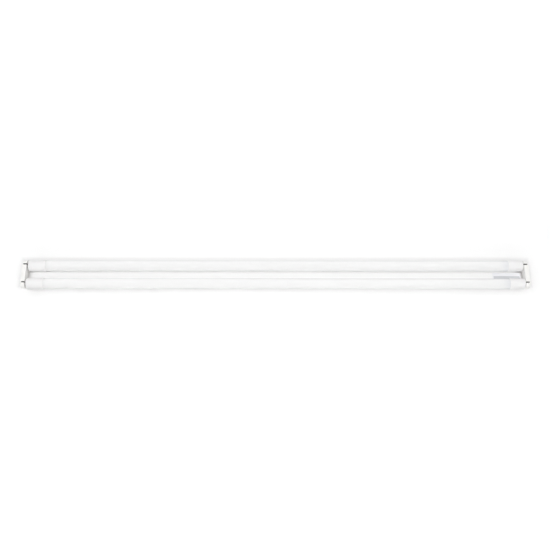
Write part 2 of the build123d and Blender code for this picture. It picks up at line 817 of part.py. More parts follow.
def driver_components(axis_y):
    # Wound coil block, capacitor can and rectifier on the driver board
    face_x = -tube_length / 2 + tube_shift
    board_face = Plane.XY.offset(tube_axis_height + board_top)
    row_start = face_x + cap_end_wall + pin_tail + rectifier_length
    coil_x = row_start + rectifier_length / 2 + coil_size
    capacitor_x = coil_x + coil_size
    capacitor_end = Plane(
        origin=(capacitor_x, axis_y, tube_axis_height + board_top + capacitor_diameter / 2),
        x_dir=(0, 1, 0), z_dir=(1, 0, 0),
    )
    with BuildPart() as components:
        with BuildSketch(board_face):
            with Locations((row_start, axis_y)):
                Rectangle(rectifier_length, rectifier_width)
        extrude(amount=rectifier_height)
        with BuildSketch(board_face):
            with Locations((coil_x, axis_y)):
                RectangleRounded(coil_size, coil_size, coil_corner_radius)
        extrude(amount=coil_height)
        with BuildSketch(capacitor_end):
            Circle(capacitor_diameter / 2)
        extrude(amount=capacitor_length)
    return components.part


def led_strip(axis_y):
    # Flat strip seated on the inside of the glass, behind the chips
    start_x = -tube_length / 2 + tube_shift + lead_end
    end_x = tube_length / 2 + tube_shift - strip_tail
    with BuildPart() as strip:
        with BuildSketch(cross_plane(start_x)):
            with Locations((axis_y, tube_axis_height + strip_bottom)):
                Rectangle(strip_width, strip_thickness, align=(Align.CENTER, Align.MIN))
        extrude(amount=end_x - start_x)
    return strip.part


def led_chips(axis_y):
    # A row of chips along the strip
    strip_length = tube_length - lead_end - strip_tail
    chip_count = int(strip_length // chip_pitch)
    middle_x = tube_shift + (lead_end - strip_tail) / 2
    with BuildPart() as chips:
        with BuildSketch(Plane.XY.offset(tube_axis_height + strip_top)):
            with Locations((middle_x, axis_y)):
                with GridLocations(chip_pitch, 0, chip_count, 1):
                    Rectangle(chip_length, chip_width)
        extrude(amount=chip_height)
    return chips.part


def strip_leads(axis_y):
    # Two bent leads from the driver board's end down to the strip
    start_x = -tube_length / 2 + tube_shift + board_start + driver_length
    strip_x = -tube_length / 2 + tube_shift + lead_end
    board_z = tube_axis_height + board_top - board_thickness / 2
    strip_z = tube_axis_height + strip_bottom + strip_thickness / 2
    middle_x = (start_x + strip_x) / 2
    with BuildPart() as leads:
        for lead_y in (axis_y - lead_spacing / 2, axis_y + lead_spacing / 2):
            with BuildLine() as route:
                FilletPolyline(
                    (start_x, lead_y, board_z), (middle_x, lead_y, board_z),
                    (middle_x, lead_y, strip_z), (strip_x, lead_y, strip_z), radius=lead_bend_radius,
                )
            with BuildSketch(Plane(origin=route.line @ 0, z_dir=route.line % 0)):
                Circle(lead_diameter / 2)
            sweep(path=route.line)
    return leads.part


for lamp_name, axis_y in tube_axes.items():
    save(lamp_glass(axis_y), f"{lamp_name}_glass")
    save(lamp_cap(left, axis_y, left_cap_diameter, left_cap_length), f"{lamp_name}_left_cap")
    save(lamp_cap(right, axis_y, right_cap_diameter, right_cap_length), f"{lamp_name}_right_cap")
    save(lamp_pins(left, axis_y), f"{lamp_name}_left_pins")
    save(lamp_pins(right, axis_y), f"{lamp_name}_right_pins")
    save(lamp_board(left, axis_y, driver_length), f"{lamp_name}_driver_board")
    save(lamp_board(right, axis_y, end_board_length), f"{lamp_name}_end_board")
    save(driver_components(axis_y), f"{lamp_name}_driver_components")
    save(strip_leads(axis_y), f"{lamp_name}_strip_leads")
    save(led_strip(axis_y), f"{lamp_name}_led_strip")
    save(led_chips(axis_y), f"{lamp_name}_led_chips")
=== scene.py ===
import json
import math

import bmesh
import bpy
import numpy as np
from mathutils import Matrix, Vector


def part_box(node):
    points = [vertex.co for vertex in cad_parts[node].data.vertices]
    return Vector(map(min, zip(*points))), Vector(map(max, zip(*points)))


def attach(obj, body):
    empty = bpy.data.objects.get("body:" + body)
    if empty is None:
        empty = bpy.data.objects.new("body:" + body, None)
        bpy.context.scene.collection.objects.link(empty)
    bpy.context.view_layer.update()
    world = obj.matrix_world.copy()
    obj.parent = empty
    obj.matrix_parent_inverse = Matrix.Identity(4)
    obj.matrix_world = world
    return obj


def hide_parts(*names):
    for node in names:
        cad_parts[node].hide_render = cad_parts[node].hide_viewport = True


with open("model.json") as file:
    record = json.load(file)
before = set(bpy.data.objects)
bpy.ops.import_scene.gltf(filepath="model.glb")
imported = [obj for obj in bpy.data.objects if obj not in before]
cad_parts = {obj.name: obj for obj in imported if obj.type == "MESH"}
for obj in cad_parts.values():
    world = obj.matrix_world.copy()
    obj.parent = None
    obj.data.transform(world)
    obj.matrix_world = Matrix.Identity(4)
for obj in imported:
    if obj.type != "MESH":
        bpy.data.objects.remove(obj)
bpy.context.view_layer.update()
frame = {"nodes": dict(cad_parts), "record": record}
scene = bpy.context.scene
nodes = frame["nodes"]
slotOf = {row["node"]: row["material_slot"] for row in frame["record"]["subparts"]}
print("frame loaded,", len(nodes), "nodes")


# Node helpers

def addNode(tree, kind, inputs=None, **settings):
    node = tree.nodes.new("ShaderNode" + kind)
    for name, value in settings.items():
        setattr(node, name, value)
    for name, value in (inputs or {}).items():
        node.inputs[name].default_value = value
    return node


def link(tree, source, output, target, socket):
    tree.links.new(source.outputs[output], target.inputs[socket])


def compute(tree, operation, source, output, number=0.0):
    node = addNode(tree, "Math", {1: number}, operation=operation)
    link(tree, source, output, node, 0)
    return node


def combine(tree, operation, first, second):
    node = addNode(tree, "Math", operation=operation)
    link(tree, first, 0, node, 0)
    link(tree, second, 0, node, 1)
    return node


def allOf(tree, masks):
    # the product of the masks, 1 where all of them are
    inside = masks[0]
    for mask in masks[1:]:
        inside = combine(tree, "MULTIPLY", inside, mask)
    return inside


def fade(tree, source, output, start, end, most=1.0):
    # 0 up to start and most past end, smooth between them
    step = addNode(tree, "MapRange", {"From Min": start, "From Max": end, "To Max": most},
                   interpolation_type="SMOOTHSTEP")
    link(tree, source, output, step, "Value")
    return step


def objectAxes(tree):
    place = addNode(tree, "TexCoord")
    split = addNode(tree, "SeparateXYZ")
    link(tree, place, "Object", split, "Vector")
    return split


def awayFrom(tree, source, output, middle):
    # how far a coordinate is from a middle value, to either side
    offset = compute(tree, "SUBTRACT", source, output, middle)
    return compute(tree, "ABSOLUTE", offset, 0)


def seenRays(tree):
    # 1 for rays from the camera, straight or by way of gloss and glass
    path = addNode(tree, "LightPath")
    direct = addNode(tree, "Math", operation="ADD")
    seen = addNode(tree, "Math", operation="ADD")
    link(tree, path, "Is Camera Ray", direct, 0)
    link(tree, path, "Is Glossy Ray", direct, 1)
    link(tree, direct, 0, seen, 0)
    link(tree, path, "Is Transmission Ray", seen, 1)
    return seen


# Camera, light and floor

cameraSetup = {
    "aim": (0.0, 0.0, 0.040),       # between the two lamps, m
    "tilt": 20.32,                  # degrees from straight down, leaning to the front
    "roll": 0.045,                  # degrees
    "distance": 1.619,              # m
    "slide": (-0.00075, -0.00046),  # m to the right and up in the picture
    "lens": 43.72,                  # mm
    "sensor": 36.0,                 # mm
}


def placeCamera(setup):
    tilt = Matrix.Rotation(math.radians(setup["tilt"]), 3, "X")
    turn = tilt @ Matrix.Rotation(math.radians(setup["roll"]), 3, "Z")
    camera = bpy.data.objects.new("camera", bpy.data.cameras.new("camera"))
    camera.data.lens = setup["lens"]
    camera.data.sensor_width = setup["sensor"]
    camera.location = Vector(setup["aim"]) + turn @ Vector((*setup["slide"], setup["distance"]))
    camera.rotation_euler = turn.to_euler()
    scene.collection.objects.link(camera)
    scene.camera = camera


tentSetup = {
    "ambient": 0.334,               # soft light from all round
    "rearward": 0.334,              # more of it from behind, less from the front
    "backdrop": 1.0,                # what shows past the floor
    "lamps": {                      # middle in m, size in m, power in W, shown in gloss
        "frontLamp": ((-0.04, -0.80, 1.55), (2.6, 0.45), 4.8, False),
        "lowLamp": ((-0.04, -2.00, 1.30), (3.0, 0.90), 18.0, False),
        "highLamp": ((-0.04, -0.50, 1.66), (2.6, 0.40), 11.4, False),
        "rearLamp": ((-0.04, 0.60, 1.60), (2.6, 0.50), 7.0, False),
        "leftLamp": ((-1.18, -0.08, 1.50), (0.30, 0.40), 0.9, True),
        "rightLamp": ((0.80, -0.08, 1.50), (0.78, 0.40), 1.3, True),
    },
    "passedOn": "rearLamp",         # the one that the opal glass and the caps pass on to the spine
}


def lightTent(setup):
    world = bpy.data.worlds.new("tent")
    scene.world = world
    world.use_nodes = True
    tree = world.node_tree
    tree.nodes.clear()
    place = addNode(tree, "TexCoord")
    split = addNode(tree, "SeparateXYZ")
    level = addNode(tree, "Math", {1: setup["rearward"], 2: setup["ambient"]}, operation="MULTIPLY_ADD")
    soft = addNode(tree, "Background", {"Color": (1, 1, 1, 1)})
    backdrop = addNode(tree, "Background", {"Color": (1, 1, 1, 1), "Strength": setup["backdrop"]})
    mix = addNode(tree, "MixShader")
    out = addNode(tree, "OutputWorld")
    link(tree, place, "Generated", split, "Vector")
    link(tree, split, "Y", level, 0)
    link(tree, level, 0, soft, "Strength")
    link(tree, seenRays(tree), 0, mix, "Fac")
    link(tree, soft, 0, mix, 1)
    link(tree, backdrop, 0, mix, 2)
    link(tree, mix, 0, out, "Surface")
    for name, (middle, size, power, inGloss) in setup["lamps"].items():
        lamp = bpy.data.objects.new(name, bpy.data.lights.new(name, "AREA"))
        lamp.data.shape = "RECTANGLE"
        lamp.data.size, lamp.data.size_y = size
        lamp.data.energy = power
        lamp.location = middle
        lamp.rotation_euler = (-Vector(middle)).to_track_quat("-Z", "Y").to_euler()
        lamp.visible_glossy = inGloss
        scene.collection.objects.link(lamp)


floorSetup = {
    "half": 6.0,                    # m
    "under": 0.0002,                # m below the object's back face
    "paper": (0.85, 0.85, 0.85, 1),
    "lift": 0.02,                   # brings the lit paper up to white where it is seen
    "farther": (                    # more lift from and to these distances from the object, m; the first ramp leaves a painted shadow close round the object
        (0.0, 0.018, 0.16),
        (0.03, 0.40, 0.26),
        (0.40, 1.50, 0.30),
    ),
    "middle": (0.0, 0.021),         # of the floor that the object shades, m
    "cover": (0.625, 0.029),        # its half length and half width, m
}


def paperFloor(setup):
    half, low = setup["half"], -setup["under"]
    corners = [(-half, -half, low), (half, -half, low), (half, half, low), (-half, half, low)]
    mesh = bpy.data.meshes.new("floor")
    mesh.from_pydata(corners, [], [(0, 1, 2, 3)])
    material = bpy.data.materials.new("floorPaper")
    material.use_nodes = True
    tree = material.node_tree
    paper = tree.nodes["Principled BSDF"]
    paper.inputs["Base Color"].default_value = setup["paper"]
    paper.inputs["Roughness"].default_value = 1.0
    paper.inputs["Specular IOR Level"].default_value = 0.0
    split = objectAxes(tree)
    sides = []
    for axis, middle, reach in zip("XY", setup["middle"], setup["cover"]):
        sides.append(compute(tree, "SUBTRACT", awayFrom(tree, split, axis, middle), 0, reach))
    distance = combine(tree, "MAXIMUM", *sides)
    # the lift stays low near the object, which paints a shadow round it on the floor
    ramps = [fade(tree, distance, 0, *row) for row in setup["farther"]]
    lift = compute(tree, "ADD", ramps[0], 0, setup["lift"])
    for ramp in ramps[1:]:
        lift = combine(tree, "ADD", ramp, lift)
    level = combine(tree, "MULTIPLY", seenRays(tree), lift)
    glow = addNode(tree, "Emission", {"Color": (1, 1, 1, 1)})
    both = addNode(tree, "AddShader")
    link(tree, level, 0, glow, "Strength")
    link(tree, paper, 0, both, 0)
    link(tree, glow, 0, both, 1)
    link(tree, both, 0, tree.nodes["Material Output"], "Surface")
    mesh.materials.append(material)
    floor = bpy.data.objects.new("floor", mesh)
    scene.collection.objects.link(floor)


scene.view_settings.view_transform = "Standard"
placeCamera(cameraSetup)
lightTent(tentSetup)
paperFloor(floorSetup)
print("camera, tent and floor in place")


# Surface effects that several finishes share

def newEffect(name, inputs, outputs):
    group = bpy.data.node_groups.new(name, "ShaderNodeTree")
    for socket, value in inputs.items():
        made = group.interface.new_socket(socket, in_out="INPUT", socket_type="NodeSocketFloat")
        made.default_value = value
    for socket in outputs:
        group.interface.new_socket(socket, in_out="OUTPUT", socket_type="NodeSocketFloat")
    return group, group.nodes.new("NodeGroupInput"), group.nodes.new("NodeGroupOutput")


grainEffect = {
    "grainScale": 1500, "grainDetail": 2.0, "driftScale": 18, "driftDetail": 3.0, "roughness": 0.55,
}


def mouldGrain(look):
    # fine moulded grain as Height, and slow cloudy unevenness as Drift
    scales = {"Grain Scale": look["grainScale"], "Drift Scale": look["driftScale"]}
    group, start, end = newEffect("mouldGrain", scales, ["Height", "Drift"])
    place = addNode(group, "TexCoord")
    details = (look["grainDetail"], look["driftDetail"])
    for scaleName, detail, outName in zip(scales, details, ("Height", "Drift")):
        noise = addNode(group, "TexNoise", {"Detail": detail, "Roughness": look["roughness"]})
        link(group, place, "Object", noise, "Vector")
        link(group, start, scaleName, noise, "Scale")
        link(group, noise, "Fac", end, outName)
    return group


peelEffect = {"peelScale": 520, "rippleFiner": 2.7, "rippleShare": 0.5, "rippleDetail": 1.0, "soft": 1.0}


def powderPeel(look):
    # orange peel of a baked powder coat: soft cells with a finer ripple on them
    group, start, end = newEffect("powderPeel", {"Peel Scale": look["peelScale"]}, ["Height"])
    place = addNode(group, "TexCoord")
    cells = addNode(group, "TexVoronoi", {"Smoothness": look["soft"]}, feature="SMOOTH_F1")
    ripple = addNode(group, "TexNoise", {"Detail": look["rippleDetail"]})
    finer = compute(group, "MULTIPLY", start, "Peel Scale", look["rippleFiner"])
    peel = addNode(group, "Math", {1: look["rippleShare"]}, operation="MULTIPLY_ADD")
    link(group, place, "Object", cells, "Vector")
    link(group, place, "Object", ripple, "Vector")
    link(group, start, "Peel Scale", cells, "Scale")
    link(group, finer, 0, ripple, "Scale")
    link(group, ripple, "Fac", peel, 0)
    link(group, cells, "Distance", peel, 2)
    link(group, peel, 0, end, "Height")
    return group


drawnEffect = {
    "lineScale": 2600, "lineDetail": 2.0, "stretch": (0.02, 1, 1),
    "tarnishScale": 90, "tarnishDetail": 4.0, "tarnishRoughness": 0.6,
}


def drawnLines(look):
    # fine lines along X, as on drawn wire and rolled strip, with patches of tarnish
    scales = {"Line Scale": look["lineScale"], "Tarnish Scale": look["tarnishScale"]}
    group, start, end = newEffect("drawnLines", scales, ["Lines", "Tarnish"])
    place = addNode(group, "TexCoord")
    stretch = addNode(group, "Mapping", {"Scale": look["stretch"]})
    lines = addNode(group, "TexNoise", {"Detail": look["lineDetail"]})
    tarnish = addNode(group, "TexNoise", {
        "Detail": look["tarnishDetail"], "Roughness": look["tarnishRoughness"],
    })
    link(group, place, "Object", stretch, "Vector")
    link(group, stretch, "Vector", lines, "Vector")
    link(group, place, "Object", tarnish, "Vector")
    link(group, start, "Line Scale", lines, "Scale")
    link(group, start, "Tarnish Scale", tarnish, "Scale")
    link(group, lines, "Fac", end, "Lines")
    link(group, tarnish, "Fac", end, "Tarnish")
    return group


effects = {
    "mouldGrain": mouldGrain(grainEffect), "powderPeel": powderPeel(peelEffect),
    "drawnLines": drawnLines(drawnEffect),
}


def newFinish(name, roughness, fixed=None):
    material = bpy.data.materials.new(name)
    material.use_nodes = True
    shader = material.node_tree.nodes["Principled BSDF"]
    shader.inputs["Roughness"].default_value = roughness
    for socket, value in (fixed or {}).items():
        shader.inputs[socket].default_value = value
    return material, material.node_tree, shader


def addEffect(tree, name, inputs=None):
    return addNode(tree, "Group", inputs, node_tree=effects[name])


def addGrain(tree, grainScale, driftScale=grainEffect["driftScale"]):
    return addEffect(tree, "mouldGrain", {"Grain Scale": grainScale, "Drift Scale": driftScale})


noiseMiddle = (0.3, 0.7)            # most of a noise lies between these


def rangeOf(tree, source, output, low, high):
    # the middle of a noise, spread from low to high
    start, end = noiseMiddle
    spread = addNode(tree, "MapRange", {"From Min": start, "From Max": end, "To Min": low, "To Max": high})
    link(tree, source, output, spread, "Value")
    return spread


def twoTone(tree, mask, output, first, second):
    mix = addNode(tree, "Mix", data_type="RGBA")
    mix.inputs["A"].default_value = (*first, 1)
    mix.inputs["B"].default_value = (*second, 1)
    link(tree, mask, output, mix, "Factor")
    return mix


def addRelief(tree, shader, source, output, depth):
    bump = addNode(tree, "Bump", {"Strength": 1.0, "Distance": depth})
    link(tree, source, output, bump, "Height")
    link(tree, bump, "Normal", shader, "Normal")


# Finishes: scales are per m, depths in m

paintLook = {
    "colour": (0.922, 0.920, 0.918), "shade": (0.911, 0.910, 0.909), "roughness": (0.36, 0.46),
    "peelScale": 520, "peelDepth": 0.00001, "grainScale": 900, "driftScale": 9,
}


def powderPaint(look):
    material, tree, shader = newFinish("whitePowderPaint", look["roughness"][0])
    peel = addEffect(tree, "powderPeel", {"Peel Scale": look["peelScale"]})
    grain = addGrain(tree, look["grainScale"], look["driftScale"])
    drift = rangeOf(tree, grain, "Drift", 0, 1)
    link(tree, twoTone(tree, drift, 0, look["colour"], look["shade"]), "Result", shader, "Base Color")
    link(tree, rangeOf(tree, grain, "Height", *look["roughness"]), 0, shader, "Roughness")
    addRelief(tree, shader, peel, "Height", look["peelDepth"])
    return material


paintedSlotShades = {
    # painted shade: the walls inside the pin-entry slots are painted near black, where shade falls; all in m
    "holder_plastic": {
        "axis": 0.0230, "half": 0.0017,         # each slot's own plane along Y, and its half width
        "back": 0.6092,                         # how far out along X the slot goes
        "bottom": 0.0400, "edge": (0.0522, 0.0529),
        "paintedShade": (0.015, 0.014, 0.013),
    },
}


def paintShadeInSlots(tree, tones, look):
    # painted shade inside each slot: where ||Y| - axis| is under the slot's half width, |X| is under its
    # back, and Z is over its bottom and under its edge
    split = objectAxes(tree)
    side = awayFrom(tree, split, "Y", 0.0)
    within = compute(tree, "LESS_THAN", awayFrom(tree, side, 0, look["axis"]), 0, look["half"])
    inFront = compute(tree, "LESS_THAN", awayFrom(tree, split, "X", 0.0), 0, look["back"])
    over = compute(tree, "GREATER_THAN", split, "Z", look["bottom"])
    low, high = look["edge"]
    under = addNode(tree, "MapRange", {"From Min": high, "From Max": low})
    link(tree, split, "Z", under, "Value")
    mix = addNode(tree, "Mix", data_type="RGBA")
    mix.inputs["B"].default_value = (*look["paintedShade"], 1)
    link(tree, tones, "Result", mix, "A")
    link(tree, allOf(tree, [within, inFront, over, under]), 0, mix, "Factor")
    return mix


plasticDrift = 22
plasticLooks = {
    # colour, second tone, least and most roughness, grain scale, grain depth
    "holder_plastic": ((0.913, 0.907, 0.890), (0.896, 0.887, 0.866), (0.40, 0.52), 1700, 0.000008),
    "rotor_plastic": ((0.022, 0.022, 0.022), (0.034, 0.034, 0.033), (0.40, 0.52), 1500, 0.000006),
    "cap_plastic": ((0.876, 0.873, 0.872), (0.866, 0.862, 0.862), (0.30, 0.34), 1200, 0.0000012),
    "terminal_plastic": ((0.800, 0.800, 0.760), (0.740, 0.740, 0.690), (0.40, 0.55), 1300, 0.000008),
    "component_plastic": ((0.030, 0.030, 0.034), (0.055, 0.055, 0.060), (0.30, 0.45), 1500, 0.000008),
    "grommet_rubber": ((0.022, 0.022, 0.022), (0.045, 0.044, 0.042), (0.62, 0.80), 900, 0.000015),
    "live_sleeve": ((0.110, 0.040, 0.016), (0.140, 0.052, 0.020), (0.34, 0.44), 800, 0.000006),
    "neutral_sleeve": ((0.012, 0.070, 0.300), (0.018, 0.090, 0.360), (0.34, 0.44), 800, 0.000006),
    "lead_sleeve": ((0.780, 0.780, 0.760), (0.720, 0.720, 0.700), (0.34, 0.44), 800, 0.000006),
}


def mouldedPlastic(name, look):
    colour, shade, roughness, grainScale, depth = look
    material, tree, shader = newFinish(name, roughness[0])
    grain = addGrain(tree, grainScale, plasticDrift)
    drift = rangeOf(tree, grain, "Drift", 0, 1)
    tones = twoTone(tree, drift, 0, colour, shade)
    # the holder's slots get painted shade
    if name in paintedSlotShades:
        tones = paintShadeInSlots(tree, tones, paintedSlotShades[name])
    link(tree, tones, "Result", shader, "Base Color")
    link(tree, rangeOf(tree, grain, "Height", *roughness), 0, shader, "Roughness")
    addRelief(tree, shader, grain, "Height", depth)
    return material


metalLineDepth = 0.000004
metalLooks = {
    # colour, tarnish, least and most roughness
    "pin_brass": ((0.780, 0.690, 0.480), (0.640, 0.540, 0.340), (0.22, 0.36)),
    "contact_brass": ((0.760, 0.600, 0.330), (0.560, 0.400, 0.190), (0.24, 0.40)),
    "zinc_steel": ((0.660, 0.665, 0.660), (0.520, 0.525, 0.530), (0.30, 0.46)),
    "tinned_tag": ((0.720, 0.720, 0.700), (0.600, 0.600, 0.580), (0.30, 0.44)),
    "strip_aluminium": ((0.840, 0.845, 0.850), (0.780, 0.785, 0.790), (0.36, 0.50)),
}


def platedMetal(name, look):
    colour, tarnish, roughness = look
    material, tree, shader = newFinish(name, roughness[0], {"Metallic": 1.0})
    drawn = addEffect(tree, "drawnLines")
    patches = rangeOf(tree, drawn, "Tarnish", 0, 1)
    link(tree, twoTone(tree, patches, 0, colour, tarnish), "Result", shader, "Base Color")
    link(tree, rangeOf(tree, drawn, "Lines", *roughness), 0, shader, "Roughness")
    addRelief(tree, shader, drawn, "Lines", metalLineDepth)
    return material


opalLook = {
    "colour": (0.870, 0.871, 0.869),
    "ends": (       # from and to along X in m, and the colour of painted shade on the glass: the driver's shadow by the right caps, the shadow of the cap's step by the left caps
        (0.540, 0.566, (0.810, 0.814, 0.828)),
        (-0.547, -0.558, (0.818, 0.819, 0.819)),
    ),
    "roughness": (0.19, 0.24), "frost": 0.9, "index": 1.5,
    "grainScale": 2400, "grainDepth": 0.000003,
}


def opalGlass(look):
    fixed = {"Diffuse Roughness": look["frost"], "IOR": look["index"]}
    material, tree, shader = newFinish("opalGlass", look["roughness"][0], fixed)
    frost = addGrain(tree, look["grainScale"])
    split = objectAxes(tree)
    # painted shade: the glass colour darkens next to the caps
    coatAndEndShade = None
    for start, end, paintedShade in look["ends"]:
        tones = twoTone(tree, fade(tree, split, "X", start, end), 0, look["colour"], paintedShade)
        if coatAndEndShade:
            link(tree, coatAndEndShade, "Result", tones, "A")
        coatAndEndShade = tones
    link(tree, coatAndEndShade, "Result", shader, "Base Color")
    link(tree, rangeOf(tree, frost, "Height", *look["roughness"]), 0, shader, "Roughness")
    addRelief(tree, shader, frost, "Height", look["grainDepth"])
    return material


earthLook = {
    "green": (0.060, 0.260, 0.030), "yellow": (0.800, 0.620, 0.040), "stripe": 0.0005,
    "roughness": (0.34, 0.44), "grainScale": 800,
}


def stripedSleeve(look):
    # yellow where the distance from the plane Y = 0 is under the stripe's half width
    material, tree, shader = newFinish("earthSleeve", look["roughness"][0])
    away = awayFrom(tree, objectAxes(tree), "Y", 0.0)
    stripe = compute(tree, "LESS_THAN", away, 0, look["stripe"])
    grain = addGrain(tree, look["grainScale"])
    link(tree, twoTone(tree, stripe, 0, look["green"], look["yellow"]), "Result", shader, "Base Color")
    link(tree, rangeOf(tree, grain, "Height", *look["roughness"]), 0, shader, "Roughness")
    return material


boardLook = {
    "lacquer": (0.012, 0.110, 0.040), "track": (0.030, 0.200, 0.075), "roughness": 0.35,
    "trackScale": 420, "trackWidth": 0.06, "trackDepth": 0.00002,
}


def greenLaminate(look):
    material, tree, shader = newFinish("greenLaminate", look["roughness"])
    place = addNode(tree, "TexCoord")
    tracks = addNode(tree, "TexBrick", {
        "Scale": look["trackScale"], "Mortar Size": look["trackWidth"],
        "Color1": (0, 0, 0, 1), "Color2": (0, 0, 0, 1), "Mortar": (1, 1, 1, 1),
    })
    link(tree, place, "Object", tracks, "Vector")
    link(tree, twoTone(tree, tracks, "Color", look["lacquer"], look["track"]), "Result", shader, "Base Color")
    addRelief(tree, shader, tracks, "Fac", look["trackDepth"])
    return material


chipLook = {
    "phosphor": (0.820, 0.640, 0.110), "pale": (0.880, 0.780, 0.340), "roughness": 0.30,
    "grainScale": 5000, "driftScale": 600, "grainDepth": 0.00001,
}


def phosphorChip(look):
    material, tree, shader = newFinish("phosphorChip", look["roughness"])
    grain = addGrain(tree, look["grainScale"], look["driftScale"])
    drift = rangeOf(tree, grain, "Drift", 0, 1)
    link(tree, twoTone(tree, drift, 0, look["phosphor"], look["pale"]), "Result", shader, "Base Color")
    addRelief(tree, shader, grain, "Height", look["grainDepth"])
    return material


finishes = {
    "white_paint": powderPaint(paintLook), "opal_glass": opalGlass(opalLook),
    "earth_sleeve": stripedSleeve(earthLook), "circuit_board": greenLaminate(boardLook),
    "chip_phosphor": phosphorChip(chipLook),
}
for name, look in plasticLooks.items():
    finishes[name] = mouldedPlastic(name, look)
for name, look in metalLooks.items():
    finishes[name] = platedMetal(name, look)
for name, piece in nodes.items():
    for row in piece.material_slots:
        row.material = finishes[slotOf[name]]
print("finishes on", len(nodes), "nodes")


# Surfaces

def gridFaces(rows, columns, closeRows=False, closeColumns=False):
    # quads between neighbouring grid points; a closed way joins its last line to its first
    i, j = np.meshgrid(np.arange(rows if closeRows else rows - 1),
                       np.arange(columns if closeColumns else columns - 1), indexing="ij")
    nextRow, nextColumn = (i + 1) % rows * columns, (j + 1) % columns
    corners = (i * columns + j, i * columns + nextColumn, nextRow + nextColumn, nextRow + j)
    return np.stack(corners, axis=-1).reshape(-1, 4)


mergeDistance = 1e-7                # m


def gridPiece(name, points, faces, slot, body, smoothAngle, replaced=()):
    mesh = bpy.data.meshes.new(name)
    mesh.from_pydata(points.reshape(-1, 3).tolist(), [], faces.tolist())
    merged = bmesh.new()
    merged.from_mesh(mesh)
    bmesh.ops.remove_doubles(merged, verts=merged.verts, dist=mergeDistance)
    merged.to_mesh(mesh)
    merged.free()
    mesh.shade_smooth()
    mesh.set_sharp_from_angle(angle=math.radians(smoothAngle))
    mesh.materials.append(finishes[slot])
    piece = bpy.data.objects.new(name, mesh)
    scene.collection.objects.link(piece)
    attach(piece, body)
    if replaced:
        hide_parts(*replaced)
    return piece


def arc(middleX, middleR, radius, start, end, steps):
    # points on a circle round (middleX, middleR), from one angle to another in degrees
    angle = np.radians(np.linspace(start, end, steps))
    return np.stack([middleX + radius * np.cos(angle), middleR + radius * np.sin(angle)], axis=-1)


def turned(profile, axisY, axisZ, steps):
    # each profile point (x, r) goes round the lamp's axis: (x, axisY + r cos a, axisZ + r sin a)
    angle = np.linspace(0, 2 * np.pi, steps, endpoint=False)
    x, r = profile[:, :1], profile[:, 1:]
    return np.stack([x + 0 * angle, axisY + r * np.cos(angle), axisZ + r * np.sin(angle)], axis=-1)


# Each piece's sizes are in m, and edges sharper than smoothAngle, in degrees, stay sharp

lampGlass = {"wall": 0.0010, "endSteps": 9, "roundSteps": 128, "smoothAngle": 40}


def glassTube(lamp, look):
    # a wall with fire-rounded ends turned round the lamp's axis: out along the outside, back inside
    node = lamp + "_glass"
    low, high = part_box(node)
    radius, half = (high[2] - low[2]) / 2, look["wall"] / 2
    profile = np.concatenate([
        arc(low[0] + half, radius - half, half, 270, 90, look["endSteps"]),
        arc(high[0] - half, radius - half, half, 90, -90, look["endSteps"]),
    ])
    points = turned(profile, (low[1] + high[1]) / 2, (low[2] + high[2]) / 2, look["roundSteps"])
    faces = gridFaces(len(profile), look["roundSteps"], closeRows=True, closeColumns=True)
    return gridPiece(node + "_opal", points, faces, "opal_glass", lamp + "_tube", look["smoothAngle"], [node])


lampCap = {
    "edge": 0.0026, "lip": 0.0004,              # radii
    "rim": 0.0016, "rimRise": 0.00018,          # raised rim at the glass end
    "endWall": 0.0024, "shoulder": 0.0116, "socket": 0.0129, "socketDepth": 0.0140,
    "arcSteps": 13, "roundSteps": 128, "smoothAngle": 40,
}


def endCap(lamp, end, look):
    # a cup turned round the lamp's axis: inside from the end wall out to the lip, then back over the
    # rim, along the outside and round the edge to the middle of the end face; behind the rim the radius
    # falls by rimRise times the smooth step 3 t^2 - 2 t^3
    node = f"{lamp}_{end}_cap"
    low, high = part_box(node)
    radius, length = (high[2] - low[2]) / 2, high[0] - low[0]
    wall, lip, edge, steps = radius - look["rimRise"], look["lip"], look["edge"], look["arcSteps"]
    inside = [
        (length - look["endWall"], 0), (length - look["endWall"], look["shoulder"]),
        (look["socketDepth"], look["shoulder"]), (look["socketDepth"], look["socket"]), (0, look["socket"]),
    ]
    ramp = np.linspace(0, 1, steps)
    fall = look["rimRise"] * (3 - 2 * ramp) * ramp ** 2
    rimEnd = np.stack([look["rim"] * (1 + ramp / 2), radius - fall], axis=-1)
    profile = np.concatenate([
        inside, arc(lip, radius - lip, lip, 180, 90, steps), rimEnd,
        arc(length - edge, wall - edge, edge, 90, 0, steps), [(length, 0)],
    ])
    if end == "left":
        profile = profile[::-1] * (-1, 1)
        profile[:, 0] += high[0]
    else:
        profile[:, 0] += low[0]
    points = turned(profile, (low[1] + high[1]) / 2, (low[2] + high[2]) / 2, look["roundSteps"])
    faces = gridFaces(len(profile), look["roundSteps"], closeColumns=True)
    return gridPiece(node + "_moulding", points, faces, "cap_plastic", lamp + "_tube", look["smoothAngle"],
                     [node])


def passLight(lampName, pieces):
    # opal glass and thin caps let part of the light through, so they throw no shadow from this one lamp
    clear = bpy.data.collections.new(lampName + "Through")
    for piece in pieces:
        clear.objects.link(piece)
    for row in clear.collection_objects:
        row.light_linking.link_state = "EXCLUDE"
    scene.objects[lampName].light_linking.blocker_collection = clear


skins = [glassTube(lamp, lampGlass) for lamp in ("rear", "front")]
for lamp in ("rear", "front"):
    for end in ("left", "right"):
        skins.append(endCap(lamp, end, lampCap))
passLight(tentSetup["passedOn"], skins)
print("lamps made")


spineSheet = {
    "ridge": 0.0160, "shoulderDrop": 0.0130, "bend": 0.0030, "sheet": 0.0007,
    "bendSteps": 9, "stations": 61, "smoothAngle": 35,
}


